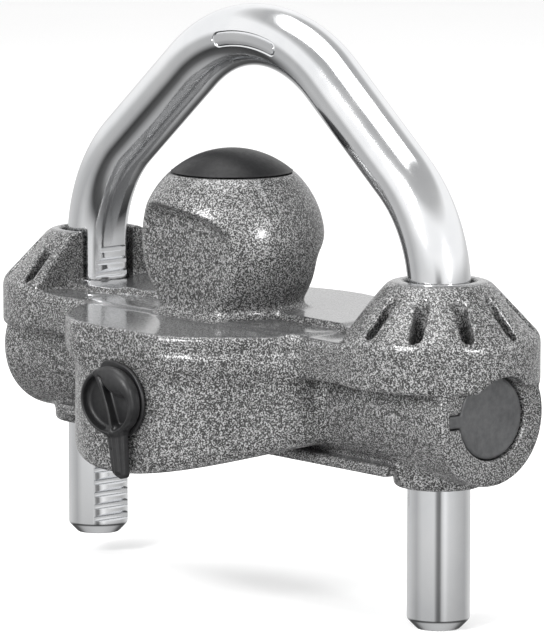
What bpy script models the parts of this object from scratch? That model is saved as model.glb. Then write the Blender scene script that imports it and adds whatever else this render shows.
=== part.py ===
"""Trailer coupler lock: a die-cast body whose ball fills the coupler's socket, and a ratcheting shackle.

Frame: +Z up, +Y to the rear, +X towards the plain (untoothed) shackle leg, called right here.
The origin is on the flat rear of the body's top plate, behind the ball, where the coupler's rim
rests.  Lengths are in millimetres.  Everything is drawn from a datum midway between the two legs'
axes, and the last step moves it to the frame's origin.  A name ending in _R is a radius.
"""

import math

import bmesh
import bpy
from mathutils import Matrix, Vector

MM = 0.001

# ---------------------------------------------------------------- driving dimensions
ORIGIN_Y = 22.0            # the frame's origin lies this far behind the legs' axes
LEG_SPACING = 135.0        # shackle leg axis to leg axis
LEG_X = LEG_SPACING / 2.0
BAR_R = 7.9375             # 5/8 in shackle bar

BALL_R = 23.8125           # 1 7/8 in ball
BALL_Y = -10.2
BALL_Z = 17.3
BALL_FLAT = 17.6           # flat under the cap, above the ball's centre
NECK_R = 18.0
FOOT_R = NECK_R + 2.8      # fillet where the neck meets the plate
CAP_R = 15.7               # rim of the ball's top cap
CAP_SEAT = BALL_Z + 17.9   # underside of the cap's rim

PLATE_DROP = 1.6           # the front of the top plate lies this much below the rear
STEP_Y = -11.5
DISC_R = 43.3              # round middle of the body, centred under the ball
SLAB_BOTTOM = -11.9        # underside of the top plate and its arms
ARM_HALF_WIDTH = 25.0
LOBE_X, LOBE_R = 1.8, 41.6 # rounded middle below the plate
LOBE_BOTTOM = -38.6
CORE_R = 36.6              # hollow inside the lobe
CORE_TOP = -8.0
PAD_Y = -50.0              # flat around the key lock

TURRET_R = 25.2
TURRET_TOP = 13.2
RIM_R = 12.2
SKIRT_BOTTOM = -12.2
TURRET_TURN = math.radians(1.9)
LEG_HOLE_R = 8.8
FACET_RIGHT = 11.4         # inner facet of the right turret, from the leg axis
FACET_LEFT = 4.9           # inner facet of the left turret: it opens the leg hole
SLOT_HALF_WIDTH = 1.7
SLOT_START_R, SLOT_END_R = 15.4, 23.7
SLOT_ANGLES = (0.0, 32.5, 65.0, 97.5, 130.0, 162.5)   # degrees from the front, turning outward
COLLAR_R = 11.4

TUBE_R = 17.4              # cross tube that houses the bolt
TUBE_Z = -19.1
TUBE_RIGHT = 87.0
TUBE_LEFT = -88.3
BORE_R = 10.8

LEG_BOTTOM_RIGHT = -74.6
LEG_BOTTOM_LEFT = -69.0
BEND_Z = 9.2               # where the legs stop being straight
BEND_R = 37.0
BEND_ANGLE = math.radians(50.5)
APEX_R = 43.0

TOOTH_PITCH = 3.3
TOOTH_DEPTH = 2.6
FIRST_LEDGE = -65.3
TOOTH_COUNT = 23
RUN_OUT_TEETH = 4
RUN_OUT_STEP = 0.45        # depth lost per tooth where the comb runs out
ENGAGED_TOOTH = 12

LOCK_X, LOCK_Z = 3.0, -19.6    # axis of the key lock
HOUSING_R = 8.7
PLUG_R = 6.0
PLUG_ORIGIN_Y = -30.0
CAM_ORIGIN_Y = -15.0
PIN_Y = -30.0              # pin that holds the lock housing in the body
PIN_HOLE_R = 1.8
CAM_OFFSET = 1.45          # the drive pin's offset along X and along Z with the lock open
WAFER_Y = (-44.5, -40.5, -36.5, -32.5, -28.5)
WAFER_BITTING = (0.5, -0.6, 0.1, -0.9, 0.4)   # height of each wafer's window

COVER_HALF_X, COVER_HALF_Z = 10.3, 8.45
RING_HALF_X, RING_HALF_Z = 10.5, 9.5
HINGE_Y, HINGE_Z = -51.9, -10.9

SMOOTH_ANGLE = math.radians(32.0)
BEVEL_ANGLE = math.radians(40)

# ---------------------------------------------------------------- scene
for old in list(bpy.data.objects):
    bpy.data.objects.remove(old, do_unlink=True)

PARTS = bpy.data.collections.new("trailer_coupler_lock")
CUTTERS = bpy.data.collections.new("cutters")
for group in (PARTS, CUTTERS):
    bpy.context.scene.collection.children.link(group)


# ---------------------------------------------------------------- materials
def material(name, color, roughness, metallic):
    mat = bpy.data.materials.new(name)
    mat.use_nodes = True
    shader = mat.node_tree.nodes["Principled BSDF"]
    shader.inputs["Base Color"].default_value = (*color, 1.0)
    shader.inputs["Roughness"].default_value = roughness
    shader.inputs["Metallic"].default_value = metallic
    mat.diffuse_color = (*color, 1.0)
    return mat


PAINT = material("hammertone_paint", color=(0.20, 0.205, 0.21), roughness=0.38, metallic=0.35)
CHROME = material("bright_chrome", color=(0.78, 0.79, 0.80), roughness=0.12, metallic=1.0)
CAP_DARK = material("dark_cap", color=(0.045, 0.046, 0.048), roughness=0.45, metallic=0.1)
PLUG_GREY = material("grey_plug", color=(0.12, 0.12, 0.125), roughness=0.5, metallic=0.6)
STEEL = material("hardened_steel", color=(0.42, 0.42, 0.43), roughness=0.32, metallic=1.0)
SPRING_STEEL = material("spring_steel", color=(0.33, 0.33, 0.35), roughness=0.3, metallic=1.0)
BRASS = material("lock_brass", color=(0.70, 0.52, 0.24), roughness=0.3, metallic=1.0)
RUBBER = material("black_rubber", color=(0.022, 0.022, 0.024), roughness=0.6, metallic=0.0)
ZINC = material("zinc_cam", color=(0.5, 0.5, 0.52), roughness=0.4, metallic=1.0)


# ---------------------------------------------------------------- helpers
def add(name, mesh, tool):
    """Links a piece, or a hidden tool that only shapes other pieces."""
    obj = bpy.data.objects.new(name, mesh)
    if tool:
        CUTTERS.objects.link(obj)
        obj.hide_render = True
        obj.display_type = "WIRE"
    else:
        PARTS.objects.link(obj)
    return obj


def mesh_object(name, bm, tool):
    mesh = bpy.data.meshes.new(name)
    bm.to_mesh(mesh)
    bm.free()
    return add(name, mesh, tool)


def baked(name, curve, tool):
    """Turns a curve into a mesh object with its caps welded."""
    source = bpy.data.objects.new(name, curve)
    CUTTERS.objects.link(source)
    bpy.context.view_layer.update()
    graph = bpy.context.evaluated_depsgraph_get()
    mesh = bpy.data.meshes.new_from_object(source.evaluated_get(graph))
    bm = bmesh.new()
    bm.from_mesh(mesh)
    bmesh.ops.remove_doubles(bm, verts=bm.verts, dist=0.000002)
    bmesh.ops.recalc_face_normals(bm, faces=bm.faces)
    bm.to_mesh(mesh)
    bm.free()
    bpy.data.objects.remove(source, do_unlink=True)
    return add(name, mesh, tool)


AXES = {"X": (0.0, math.pi / 2, 0.0), "Y": (-math.pi / 2, 0.0, 0.0), "Z": (0.0, 0.0, 0.0)}


def turned(name, profile, segments, centre, axis="Z", closed=False, tool=False):
    """A turned shape. The profile is (radius, place along the axis) pairs."""
    mesh = bpy.data.meshes.new(name)
    points = [(radius * MM, 0.0, height * MM) for radius, height in profile]
    edges = [(i, i + 1) for i in range(len(points) - 1)]
    if closed:
        edges.append((len(points) - 1, 0))
    mesh.from_pydata(points, edges, [])
    obj = add(name, mesh, tool)
    obj.location = [c * MM for c in centre]
    obj.rotation_euler = AXES[axis]
    screw = obj.modifiers.new("turn", "SCREW")
    screw.axis = "Z"
    screw.angle = 2 * math.pi
    screw.steps = segments
    screw.render_steps = segments
    screw.use_merge_vertices = True
    screw.merge_threshold = 0.000001
    screw.use_smooth_shade = True
    return obj


def rod(name, radius, start, end, segments, spin=0.037):
    """A cylinder tool. The spin keeps its facets' edges off those of other shapes on its axis."""
    start, end = Vector(start) * MM, Vector(end) * MM
    bm = bmesh.new()
    bmesh.ops.create_cone(bm, cap_ends=True, segments=segments, radius1=radius * MM,
                          radius2=radius * MM, depth=(end - start).length,
                          matrix=Matrix.Rotation(spin, 4, "Z"))
    obj = mesh_object(name, bm, True)
    obj.location = (start + end) / 2
    obj.rotation_euler = (end - start).to_track_quat("Z", "Y").to_euler()
    return obj


def block(name, low, high, bevel=0.0):
    """A box tool between two opposite corners."""
    bm = bmesh.new()
    bmesh.ops.create_cube(bm, size=1.0)
    for vert in bm.verts:
        vert.co = [(top if c > 0 else bottom) * MM for c, bottom, top in zip(vert.co, low, high)]
    obj = mesh_object(name, bm, True)
    if bevel:
        round_edges(obj, bevel)
    return obj


def round_edges(obj, width):
    bevel = obj.modifiers.new("edges", "BEVEL")
    bevel.width = width * MM
    bevel.segments = 2
    bevel.limit_method = "ANGLE"
    bevel.angle_limit = BEVEL_ANGLE
    bevel.use_clamp_overlap = True


def outline(name, loops, low, high, plane="XY", tool=True, bevel=0.0):
    """An outer loop and optional holes, made solid between two levels of the plane's normal."""
    curve = bpy.data.curves.new(name, "CURVE")
    curve.dimensions = "2D"
    curve.fill_mode = "BOTH"
    curve.extrude = (high - low) / 2 * MM
    for loop in loops:
        spline = curve.splines.new("POLY")
        spline.points.add(len(loop) - 1)
        for point, (x, y) in zip(spline.points, loop):
            point.co = (x * MM, y * MM, 0.0, 1.0)
        spline.use_cyclic_u = True
    obj = baked(name, curve, tool)
    for vert in obj.data.vertices:
        across, along, level = vert.co
        level = (high if level > 0 else low) * MM
        vert.co = {"XY": (across, along, level), "XZ": (across, level, along),
                   "YZ": (level, across, along)}[plane]
    if plane == "XZ":
        obj.data.flip_normals()
    if bevel:
        round_edges(obj, bevel)
    return obj


def arc(x, y, radius, start, end, count, radius_y=None):
    """Points on an arc between two angles in degrees; radius_y makes it elliptical."""
    angles = [math.radians(start + (end - start) * i / count) for i in range(count + 1)]
    return [(x + radius * math.cos(angle), y + (radius_y or radius) * math.sin(angle))
            for angle in angles]


def tube(name, points, radius, resolution):
    """A round bar through points (x, y, z, scale of the radius), with filled caps."""
    curve = bpy.data.curves.new(name, "CURVE")
    curve.dimensions = "3D"
    curve.bevel_depth = radius * MM
    curve.bevel_resolution = resolution
    curve.use_fill_caps = True
    curve.twist_mode = "MINIMUM"
    spline = curve.splines.new("POLY")
    spline.points.add(len(points) - 1)
    for point, (x, y, z, scale) in zip(spline.points, points):
        point.co = (x * MM, y * MM, z * MM, 1.0)
        point.radius = scale
    return baked(name, curve, False)


def coil(name, radius, wire_r, start, end, turns, per_turn, resolution, direction):
    """A compression spring from start to end, with its two end turns closed."""
    start, side = Vector(start), Vector(direction)
    span = Vector(end) - start
    axis, length = span.normalized(), span.length
    other_side = axis.cross(side)
    closed_pitch = wire_r * 2.05
    closed_height = wire_r * 3.05
    points = []
    count = int(turns * per_turn)
    for i in range(count + 1):
        turn = i / count * turns
        if turn < 1.0:
            height = wire_r + turn * closed_pitch
        elif turn > turns - 1.0:
            height = length - wire_r - (turns - turn) * closed_pitch
        else:
            height = closed_height + (turn - 1.0) / (turns - 2.0) * (length - 2 * closed_height)
        angle = 2 * math.pi * turn
        around = (side * math.cos(angle) + other_side * math.sin(angle)) * radius
        points.append((*(start + axis * height + around), 1.0))
    return tube(name, points, wire_r, resolution)


def boolean(target, tool, operation):
    mod = target.modifiers.new(operation.lower(), "BOOLEAN")
    mod.operation = operation
    mod.solver = "EXACT"
    mod.object = tool


def cut(target, tool):
    boolean(target, tool, "DIFFERENCE")


def join(target, tool):
    boolean(target, tool, "UNION")


def finish(obj, mat, smooth=True):
    obj.data.materials.append(mat)
    if smooth:
        obj.data.shade_smooth()
        if not obj.modifiers:
            obj.data.set_sharp_from_angle(angle=SMOOTH_ANGLE)


def set_origin(obj, x, y, z):
    """Moves the object's origin to a point on its joint's axis and leaves the shape in place."""
    bpy.context.view_layer.update()
    shift = obj.matrix_world.inverted() @ Vector((x * MM, y * MM, z * MM))
    obj.data.transform(Matrix.Translation(-shift))
    obj.matrix_world = obj.matrix_world @ Matrix.Translation(shift)


# Shapes placed from the key lock's axis, which runs along Y.
def lock_rod(name, radius, front, rear, segments):
    return rod(name, radius, (LOCK_X, front, LOCK_Z), (LOCK_X, rear, LOCK_Z), segments)


def lock_block(name, x_range, y_range, z_range):
    low, high = zip(x_range, y_range, z_range)
    return block(name, (LOCK_X + low[0], low[1], LOCK_Z + low[2]),
                 (LOCK_X + high[0], high[1], LOCK_Z + high[2]))


def lock_points(points):
    return [(LOCK_X + x, LOCK_Z + z) for x, z in points]


# ---------------------------------------------------------------- the cast body
def add_plate():
    """The top plate: a disc with two arms, lower at the front."""
    body = turned("lock_body", [
        (0, 0.0), (DISC_R - 1.0, 0.0), (DISC_R - 0.3, -0.3), (DISC_R, -1.0),
        (DISC_R, SLAB_BOTTOM + 0.9), (DISC_R - 0.3, SLAB_BOTTOM + 0.3),
        (DISC_R - 0.9, SLAB_BOTTOM), (0, SLAB_BOTTOM)], 96, (0, BALL_Y, 0))
    join(body, block("arms", (-LEG_X, -ARM_HALF_WIDTH, SLAB_BOTTOM),
                     (LEG_X, ARM_HALF_WIDTH, 0.0), 0.9))
    cut(body, block("front_drop", (-80.0, -70.0, -PLATE_DROP), (80.0, STEP_Y, 8.0)))
    return body


def add_underside(body):
    """The cored lobe with its arched lower edge, the cross tube, flange and lock boss."""
    join(body, turned("lobe", [
        (0, -9.0), (LOBE_R, -9.0), (LOBE_R, LOBE_BOTTOM + 1.3), (LOBE_R - 1.3, LOBE_BOTTOM),
        (0, LOBE_BOTTOM)], 96, (LOBE_X, BALL_Y, 0), tool=True))
    cut(body, rod("core", CORE_R, (LOBE_X, BALL_Y, -60), (LOBE_X, BALL_Y, CORE_TOP), 72))

    # a parabola close to a shallow arc, lowest at arch_x
    arch_x, arch_start, arch_step, flatness = -3.0, -63.3, 4.3, 215.0
    lower = []
    for i in range(29):
        reach = arch_start + arch_step * i
        lower.append((reach + arch_x, LOBE_BOTTOM + 0.05 + reach * reach / flatness))
    corners = [(lower[-1][0], -70.0), (lower[0][0], -70.0)]
    cut(body, outline("lower_arc", [lower + corners], -70.0, 60.0, "XZ"))

    join(body, turned("cross_tube", [
        (0, TUBE_RIGHT), (TUBE_R - 0.9, TUBE_RIGHT), (TUBE_R - 0.25, TUBE_RIGHT - 0.3),
        (TUBE_R, TUBE_RIGHT - 1.0), (TUBE_R, TUBE_LEFT + 3.0), (TUBE_R - 0.9, TUBE_LEFT + 0.9),
        (TUBE_R - 3.0, TUBE_LEFT), (0, TUBE_LEFT)], 64, (0, 0, TUBE_Z), "X", tool=True))
    join(body, block("lower_flange", (-64.0, -14.4, -35.3), (64.0, 14.4, -32.9), 0.7))
    join(body, lock_rod("lock_boss", 12.8, -48.6, -11.0, 48))


def ball_points(first, last, count):
    """Profile points on the ball between two angles measured from its top."""
    angles = [first + (last - first) * i / count for i in range(count + 1)]
    return [(BALL_R * math.sin(angle), BALL_Z + BALL_R * math.cos(angle)) for angle in angles]


def add_ball(body):
    """The ball on its neck, with a recess in the front and one in the rear."""
    profile = [(0, BALL_Z + BALL_FLAT)]
    profile += ball_points(math.acos(BALL_FLAT / BALL_R), math.pi - math.asin(NECK_R / BALL_R), 16)
    profile += [(NECK_R + 0.1, 0.7), (NECK_R + 0.6, -0.3), (NECK_R + 1.5, -1.0),
                (FOOT_R, -1.35), (FOOT_R, -9.5), (0, -9.5)]
    join(body, turned("ball_and_neck", profile, 56, (0, BALL_Y, 0), tool=True))

    front, rear = BALL_Y - 15.0, BALL_Y + 11.0    # the recesses' upright walls
    # (y, z) outlines
    front_loop = [(-60, -0.4), (front - 1.5, -0.4), (front - 0.4, 0.1), (front, 1.1),
                  (front, 23.2), (front - 0.6, 25.4), (front - 2.2, 27.3), (front - 5.0, 28.9),
                  (-60, 38.0)]
    rear_loop = [(40, 0.7), (rear + 1.5, 0.7), (rear + 0.4, 1.1), (rear, 2.1),
                 (rear, 13.2), (rear + 0.7, 14.9), (rear + 7.0, 19.9), (40, 40.0)]
    for name, loop in (("front_recess", front_loop), ("rear_recess", rear_loop)):
        cut(body, outline(name, [loop], -27.0, 27.0, "YZ"))


def add_turrets(body):
    """The turrets that guide the legs, each with a flat inner facet, and a collar below each."""
    turret_profile = [
        (0, TURRET_TOP), (RIM_R - 0.9, TURRET_TOP), (RIM_R - 0.1, TURRET_TOP - 0.25),
        (RIM_R + 0.5, TURRET_TOP - 0.9), (TURRET_R - 0.45, 0.1), (TURRET_R - 0.1, -0.4),
        (TURRET_R, -1.2), (TURRET_R, SKIRT_BOTTOM + 0.7), (TURRET_R - 0.6, SKIRT_BOTTOM),
        (0, SKIRT_BOTTOM)]
    for side, facet in ((1, FACET_RIGHT), (-1, FACET_LEFT)):
        turret = turned("turret", turret_profile, 48, (side * LEG_X, 0, 0), tool=True)
        turret.rotation_euler = (0, 0, side * TURRET_TURN)
        low, high = sorted((side * (LEG_X - facet), side * 30.0))
        cut(turret, block("facet", (low, -32.0, -4.0), (high, 32.0, 20.0)))
        join(body, turret)
    for side in (1, -1):
        join(body, turned("collar", [
            (0, -24), (COLLAR_R, -24), (COLLAR_R, -37.4), (COLLAR_R - 0.35, -38.15),
            (COLLAR_R - 1.1, -38.5), (0, -38.5)], 40, (side * LEG_X, 0, 0), tool=True))


def cut_slot(body, side, angle):
    """One radial slot with round ends in the top of a turret."""
    angle = math.radians(angle)
    outward = Vector((side * math.sin(angle), -math.cos(angle)))
    centre = Vector((side * LEG_X, 0.0))
    heading = math.degrees(math.atan2(outward.y, outward.x))
    inner = centre + outward * (SLOT_START_R + SLOT_HALF_WIDTH)
    outer = centre + outward * (SLOT_END_R - SLOT_HALF_WIDTH)
    loop = arc(outer.x, outer.y, SLOT_HALF_WIDTH, heading - 90, heading + 90, 6)
    loop += arc(inner.x, inner.y, SLOT_HALF_WIDTH, heading + 90, heading + 270, 6)
    cut(body, outline("slot", [loop], -7.5, 16.0))


def cut_openings(body):
    cut(body, block("lock_pad", (-30.0, -60.0, -45.0), (30.0, PAD_Y, 5.0)))
    cut(body, block("rear_relief", (-50.0, TUBE_R + 1.5, -45.0), (50.0, 50.0, -26.3)))
    for side in (1, -1):
        for angle in SLOT_ANGLES:
            cut_slot(body, side, angle)
        cut(body, rod("leg_hole", LEG_HOLE_R, (side * LEG_X, 0, -50), (side * LEG_X, 0, 25), 44))
    cut(body, rod("bolt_bore", BORE_R, (-62.0, 0, TUBE_Z), (98.0, 0, TUBE_Z), 48))
    cut(body, rod("ring_groove", 11.9, (49.2, 0, TUBE_Z), (51.0, 0, TUBE_Z), 44, spin=0.083))
    cut(body, block("key_notch", (81.9, -14.2, TUBE_Z - 1.9), (98.0, -8.0, TUBE_Z + 1.9)))
    cut(body, lock_rod("lock_bore", 9.0, -56, -8.0, 44))
    cut(body, rod("pin_hole", PIN_HOLE_R, (LOCK_X, PIN_Y, -45), (LOCK_X, PIN_Y, -27.0), 20))
    cut(body, rod("stem_hole", 5.3, (0, BALL_Y, 24.0), (0, BALL_Y, 40.0), 28))


def make_body():
    body = add_plate()
    add_underside(body)
    add_ball(body)
    add_turrets(body)
    cut_openings(body)
    finish(body, PAINT)


def make_ball_cap():
    """The dark top of the ball, with a stem into the body."""
    profile = ball_points(0.0, math.asin(CAP_R / BALL_R), 8)
    profile += [(CAP_R - 0.15, CAP_SEAT), (5.0, CAP_SEAT), (5.0, 25.2), (4.4, 24.5), (0, 24.5)]
    finish(turned("ball_cap", profile, 48, (0, BALL_Y, 0)), CAP_DARK)


# ---------------------------------------------------------------- shackle
def shackle_leg(x, bottom):
    """Stations (x, z, bar radius) from a leg's chamfered bottom up to its bend."""
    return [(x, bottom, BAR_R - 2.3), (x, bottom + 2.1, BAR_R - 0.3), (x, bottom + 3.0, BAR_R),
            (x, -30.0, BAR_R), (x, BEND_Z, BAR_R)]


def shackle_line():
    """Stations from the bottom of the right leg, over the top, to the bottom of the left leg."""
    arch = []
    for i in range(1, 9):
        angle = BEND_ANGLE * i / 8
        arch.append((LEG_X - BEND_R + BEND_R * math.cos(angle),
                     BEND_Z + BEND_R * math.sin(angle), BAR_R))
    # a straight run, tangent to both, joins the bend to the apex arc
    bend_x, bend_z, _ = arch[-1]
    run = (bend_x - APEX_R * math.cos(BEND_ANGLE)) / math.sin(BEND_ANGLE)
    apex_z = bend_z + run * math.cos(BEND_ANGLE) - APEX_R * math.sin(BEND_ANGLE)
    for i in range(7):
        angle = BEND_ANGLE + (math.pi / 2 - BEND_ANGLE) * i / 6
        arch.append((APEX_R * math.cos(angle), apex_z + APEX_R * math.sin(angle), BAR_R))
    left_arch = [(-x, z, radius) for x, z, radius in reversed(arch[:-1])]
    return (shackle_leg(LEG_X, LEG_BOTTOM_RIGHT) + arch + left_arch
            + shackle_leg(-LEG_X, LEG_BOTTOM_LEFT)[::-1])


def tooth_comb():
    """The (x, z) outline cut from the inner side of the left leg, bottom tooth first."""
    surface = -LEG_X + BAR_R
    comb = []
    for k in range(TOOTH_COUNT):
        ledge = FIRST_LEDGE + TOOTH_PITCH * k
        next_ledge = FIRST_LEDGE + TOOTH_PITCH * (k + 1)
        depth = TOOTH_DEPTH - max(0.0, (k - (TOOTH_COUNT - RUN_OUT_TEETH)) * RUN_OUT_STEP)
        # a flat ledge, a short upright root, a sloping face up to the surface, a narrow land
        rise = (TOOTH_PITCH - 0.8) * (1.0 + 0.6 / TOOTH_DEPTH) * depth / (depth + 0.6)
        land = ledge + 0.35 + rise
        comb += [(surface + 0.6, ledge), (surface - depth, ledge),
                 (surface - depth, ledge + 0.35), (surface, land),
                 (surface + 0.3, min(land + 0.05, next_ledge - 0.1)),
                 (surface + 0.6, next_ledge - 0.1)]
    return comb + [(surface + 4.0, comb[-1][1]), (surface + 4.0, comb[0][1])]


def make_shackle():
    line = [(x, 0.0, z, radius / BAR_R) for x, z, radius in shackle_line()]
    shackle = tube("shackle", line, BAR_R, 6)
    cut(shackle, outline("teeth", [tooth_comb()], -9.0, 9.0, "XZ"))
    flat_x, flat_z = -LEG_X + BEND_R - 0.45, BEND_Z - 0.5    # flat inside the left bend
    cut(shackle, rod("bend_flat", 29.45, (flat_x, -9, flat_z), (flat_x, 9, flat_z), 96))
    finish(shackle, CHROME)
    set_origin(shackle, 0, 0, 0)


# ---------------------------------------------------------------- parts in the cross tube
def make_end_plug():
    """The plug in the right end of the bore, with a key at the front."""
    plug = turned("end_plug", [
        (0, 86.4), (10.2, 86.4), (10.5, 86.1), (10.5, 78.2), (9.9, 77.6), (0, 77.6)],
        48, (0, 0, TUBE_Z), "X")
    join(plug, block("plug_key", (82.3, -13.9, TUBE_Z - 1.6), (86.35, -7.0, TUBE_Z + 1.6)))
    finish(plug, PLUG_GREY)


def make_ratchet_bolt():
    """The bolt, with a toothed nose at its left end and a slot for the cam's drive pin."""
    bolt = turned("ratchet_bolt", [
        (0, 23.0), (4.7, 23.0), (5.2, 22.5), (5.2, 18.0), (9.6, 18.0), (10.4, 17.2),
        (10.4, -55.0), (9.6, -55.8), (0, -55.8)], 48, (0, 0, TUBE_Z), "X")
    tip, gullet = -59.0, -56.3
    join(bolt, block("bolt_nose", (tip, -4.5, TUBE_Z - 6.9), (-50.0, 4.5, TUBE_Z + 6.9)))
    engaged_z = FIRST_LEDGE + TOOTH_PITCH * ENGAGED_TOOTH
    for k in range(-1, 5):
        # between the sloping top of one tooth and the flat underside of the next
        ledge = engaged_z + TOOTH_PITCH * k
        top = ledge + TOOTH_PITCH + 0.3
        gap = [(tip - 1.0, ledge + 0.45), (tip, ledge + 0.45),
               (gullet, ledge + TOOTH_PITCH - 0.75), (gullet, top), (tip - 1.0, top)]
        cut(bolt, outline("bolt_gap", [gap], -6.0, 6.0, "XZ"))
    cut(bolt, lock_block("cam_slot", (CAM_OFFSET - 1.85, CAM_OFFSET + 1.85), (-12.0, -4.4),
                         (-4.0, 0.5)))
    finish(bolt, STEEL)
    set_origin(bolt, 0, 0, TUBE_Z)


def make_bolt_spring():
    finish(coil("bolt_spring", radius=7.7, wire_r=0.9, start=(18.35, 0, TUBE_Z),
                end=(45.65, 0, TUBE_Z), turns=8.0, per_turn=16, resolution=1,
                direction=(0, 0, 1)), SPRING_STEEL)


def make_spring_seat():
    """The washer at the spring's right end and the snap ring behind it."""
    finish(turned("spring_seat", [
        (3.2, 49.1), (10.1, 49.1), (10.4, 48.8), (10.4, 46.3), (10.1, 46.0), (3.2, 46.0)],
        40, (0, 0, TUBE_Z), "X", closed=True), STEEL)
    ring = arc(0, TUBE_Z, 11.5, 112, 428, 40) + arc(0, TUBE_Z, 8.9, 428, 112, 40)
    finish(outline("seat_snap_ring", [ring], 49.5, 50.7, "YZ", tool=False), SPRING_STEEL)


# ---------------------------------------------------------------- key lock in the body's front
def cut_tail_flats(target, name, front, half_height):
    """Cuts above and below the lock's axis, leaving a two-sided tail."""
    for side in (-1, 1):
        z_range = sorted((side * half_height, side * 5.0))
        cut(target, lock_block(name, (-5, 5), (front, -10), z_range))


def make_lock_housing():
    housing = turned("lock_housing", [
        (6.3, -14.3), (7.3, -14.3), (8.4, -14.3), (HOUSING_R, -14.6), (HOUSING_R, -49.3),
        (8.3, -49.7), (6.7, -49.7), (6.3, -49.3)], 44, (LOCK_X, 0, LOCK_Z), "Y", closed=True)
    cut(housing, lock_rod("cam_room", 7.3, -19.1, -10, 36))
    cut(housing, lock_block("wafer_groove", (-2.75, 2.75), (-46.5, -25.5), (-7.5, 7.5)))
    cut(housing, rod("pin_seat", PIN_HOLE_R, (LOCK_X, PIN_Y, -35), (LOCK_X, PIN_Y, -26.9), 20))
    finish(housing, BRASS)


def make_housing_pin():
    """An upright split pin."""
    loop = arc(LOCK_X, PIN_Y, 1.5, 15, 345, 18) + arc(LOCK_X, PIN_Y, 0.85, 345, 15, 18)
    finish(outline("housing_pin", [loop], -32.4, -27.3, tool=False), SPRING_STEEL)


def make_lock_plug():
    plug = turned("lock_plug", [
        (0, -14.8), (3.0, -14.8), (3.0, -17.0), (5.2, -17.0), (5.2, -17.9), (4.0, -17.9),
        (4.0, -19.0), (5.7, -19.0), (PLUG_R, -19.3), (PLUG_R, -49.0), (5.6, -49.4), (0, -49.4)],
        40, (LOCK_X, 0, LOCK_Z), "Y")
    cut_tail_flats(plug, "tail_flat", -16.95, 2.0)
    cut(plug, lock_block("keyway", (-1.1, 1.1), (-52, -23.0), (-4.3, 3.4)))
    cut(plug, lock_block("keyway_ward", (-1.9, -0.5), (-52, -23.4), (-1.2, 0.4)))
    for y in WAFER_Y:
        cut(plug, lock_block("wafer_slot", (-2.5, 2.5), (y - 0.8, y + 0.8), (-7.0, 7.0)))
        cut(plug, lock_block("ear_slot", (2.0, 4.8), (y - 0.82, y + 0.82), (-2.3, 3.5)))
    finish(plug, BRASS)
    set_origin(plug, LOCK_X, PLUG_ORIGIN_Y, LOCK_Z)


def make_wafers():
    """Five wafers, each with an ear on its right that stands on a small spring."""
    outer = lock_points([(-2.2, -5.1), (2.2, -5.1), (2.2, 1.5), (4.4, 1.5), (4.4, 2.7),
                         (2.2, 2.7), (2.2, 5.1), (-2.2, 5.1)])
    for number, (y, lift) in enumerate(zip(WAFER_Y, WAFER_BITTING), 1):
        low, high = -3.0 + lift, 2.6 + lift
        window = lock_points([(-1.3, low), (-1.3, high), (1.3, high), (1.3, low)])
        wafer = outline(f"lock_wafer_{number}", [outer, window], y - 0.5, y + 0.5, "XZ",
                        tool=False)
        finish(wafer, BRASS, smooth=False)
        finish(coil(f"wafer_spring_{number}", radius=0.4, wire_r=0.1,
                    start=(LOCK_X + 3.5, y, LOCK_Z - 2.0), end=(LOCK_X + 3.5, y, LOCK_Z + 1.2),
                    turns=6.0, per_turn=8, resolution=0, direction=(1, 0, 0)), SPRING_STEEL)


def make_plug_clip():
    loop = arc(LOCK_X, LOCK_Z, 6.9, -60, 240, 25) + arc(LOCK_X, LOCK_Z, 4.3, 240, -60, 25)
    finish(outline("plug_clip", [loop], -18.8, -18.1, "XZ", tool=False), SPRING_STEEL)


def make_lock_cam():
    """The disc on the plug's tail, with an off-centre pin that drives the bolt."""
    cam = turned("lock_cam", [
        (0, -12.8), (6.4, -12.8), (6.8, -13.2), (6.8, -16.4), (6.5, -16.7), (0, -16.7)],
        36, (LOCK_X, 0, LOCK_Z), "Y")
    pin_x, pin_z = LOCK_X + CAM_OFFSET, LOCK_Z - CAM_OFFSET
    join(cam, rod("drive_pin", 1.5, (pin_x, -14.0, pin_z), (pin_x, -5.2, pin_z), 24))
    tail_hole = lock_rod("tail_hole", 3.3, -18.0, -14.4, 32)
    cut_tail_flats(tail_hole, "tail_hole_flat", -20.0, 2.3)
    cut(cam, tail_hole)
    finish(cam, ZINC)
    set_origin(cam, LOCK_X, CAM_ORIGIN_Y, LOCK_Z)


# ---------------------------------------------------------------- rubber dust cover
def make_cover_ring():
    """An oval ring round the keyway, with its top replaced by a strap up to the hinge."""
    oval = arc(LOCK_X, LOCK_Z, RING_HALF_X, 0, 352, 44, RING_HALF_Z)
    loop = [point for point in oval if point[1] <= LOCK_Z + 7.9]
    split = next(i for i, (x, z) in enumerate(loop) if x < LOCK_X and z > LOCK_Z)
    loop[split:split] = [(LOCK_X + 0.6, HINGE_Z + 1.2), (LOCK_X - 6.2, HINGE_Z + 1.2)]
    mouth = arc(LOCK_X, LOCK_Z, 6.9, 0, 350, 35)
    finish(outline("dust_cover_ring", [loop, mouth], -51.3, -50.3, "XZ", tool=False), RUBBER)


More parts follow.
